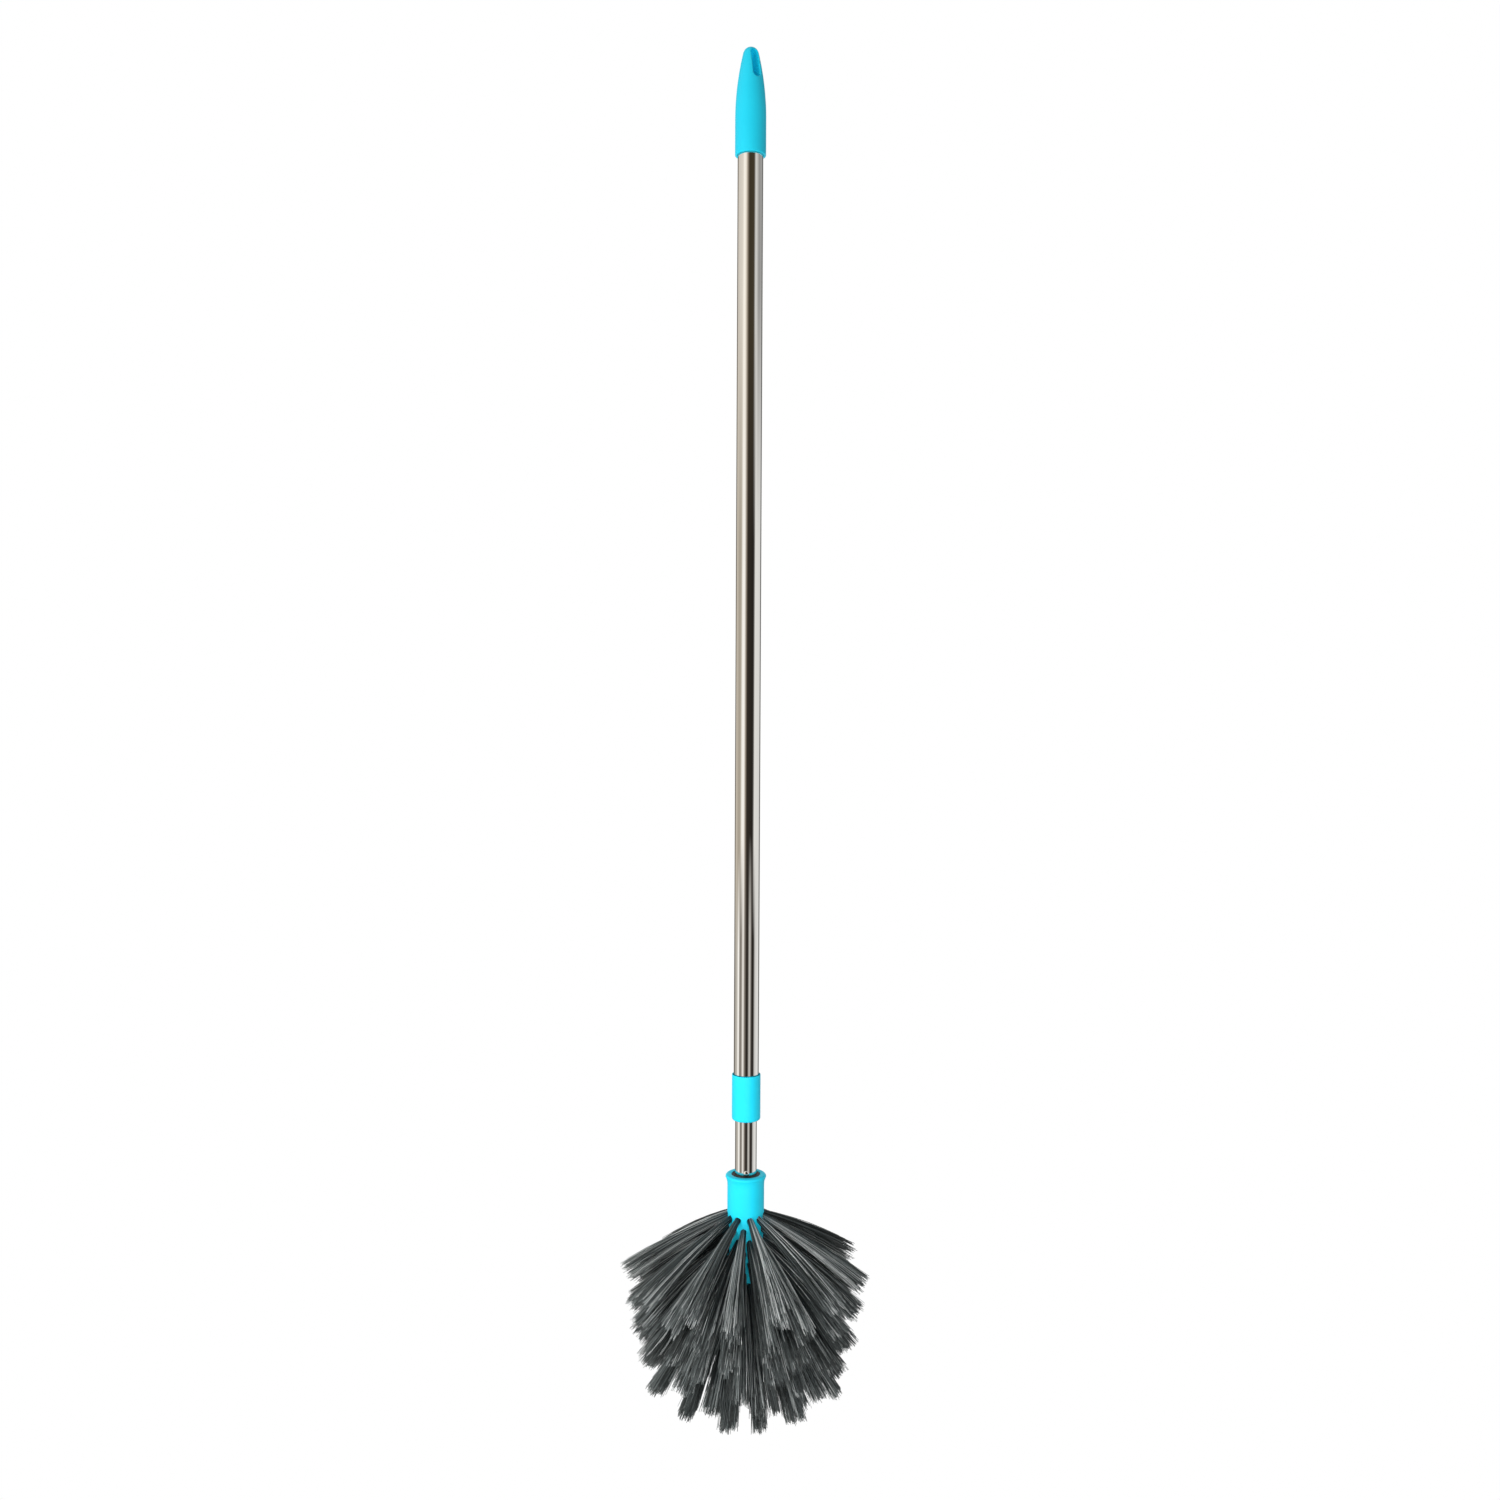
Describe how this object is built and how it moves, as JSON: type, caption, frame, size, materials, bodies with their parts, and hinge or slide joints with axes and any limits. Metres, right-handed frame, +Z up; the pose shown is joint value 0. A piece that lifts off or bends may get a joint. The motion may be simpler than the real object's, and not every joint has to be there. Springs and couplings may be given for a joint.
{
  "type": "cobweb brush",
  "caption": "Cobweb brush: domed head of grey bristle tufts on a blue core, screwed to a telescopic polished steel pole with a twist lock and a blue grip with a hang hole.",
  "frame": {"origin": "centre of the hang hole in the grip", "axes": "+Z up along the pole, from the brush head to the grip; +Y through the hang hole"},
  "size_m": [0.2186, 0.214, 1.1823],
  "materials": {
    "blue_plastic": "smooth satin bright blue moulding",
    "polished_steel": "mirror polished",
    "inner_plastic": "plain moulding",
    "black_plastic": "plain black moulding",
    "bristle": "dark grey split plastic filaments",
    "wire": "plain wire"
  },
  "bodies": {
    "pole_outer": {"end_grip": "blue_plastic", "outer_tube": "polished_steel", "lock_ferrule": "inner_plastic"},
    "clamp_ring": {"clamp_ring": "inner_plastic"},
    "lock_nut": {"lock_nut": "blue_plastic"},
    "guide_bush": {"guide_bush": "inner_plastic"},
    "inner_pole": {"inner_tube": "polished_steel", "slider_plug": "inner_plastic", "thread_plug": "black_plastic", "tip_rivet": "polished_steel"},
    "brush_head": {"head_core": "blue_plastic", "tuft_row_1": "bristle", "tuft_row_2": "bristle", "tuft_row_3": "bristle", "tuft_row_4": "bristle", "tuft_row_5": "bristle", "tuft_row_6": "bristle", "tuft_row_7": "bristle", "tuft_row_8": "bristle", "tuft_row_9": "bristle", "end_tufts": "bristle", "tuft_anchors": "wire"}
  },
  "joints": [
    {"name": "telescope", "type": "slide", "parent": "pole_outer", "child": "guide_bush", "axis": [0, 0, -1], "range_m": [0, 0.8]},
    {"name": "pole_spin", "type": "hinge", "parent": "guide_bush", "child": "inner_pole", "pos_m": [0, 0, -0.036], "axis": [0, 0, -1], "continuous": true},
    {"name": "collet_travel", "type": "slide", "parent": "pole_outer", "child": "clamp_ring", "axis": [0, 0, -1], "range_m": [0, 0.0013]},
    {"name": "lock_twist", "type": "hinge", "parent": "clamp_ring", "child": "lock_nut", "pos_m": [0, 0, -0.8825], "axis": [0, 0, -1], "range_deg": [0, 150]},
    {"name": "head_screw", "type": "hinge", "parent": "inner_pole", "child": "brush_head", "pos_m": [0, 0, -0.965], "axis": [0, 0, -1], "range_deg": [0, 1440]}
  ],
  "couplings": [
    {"joint": "collet_travel", "follows": "lock_twist", "m_per_rad": 0.00047746}
  ]
}
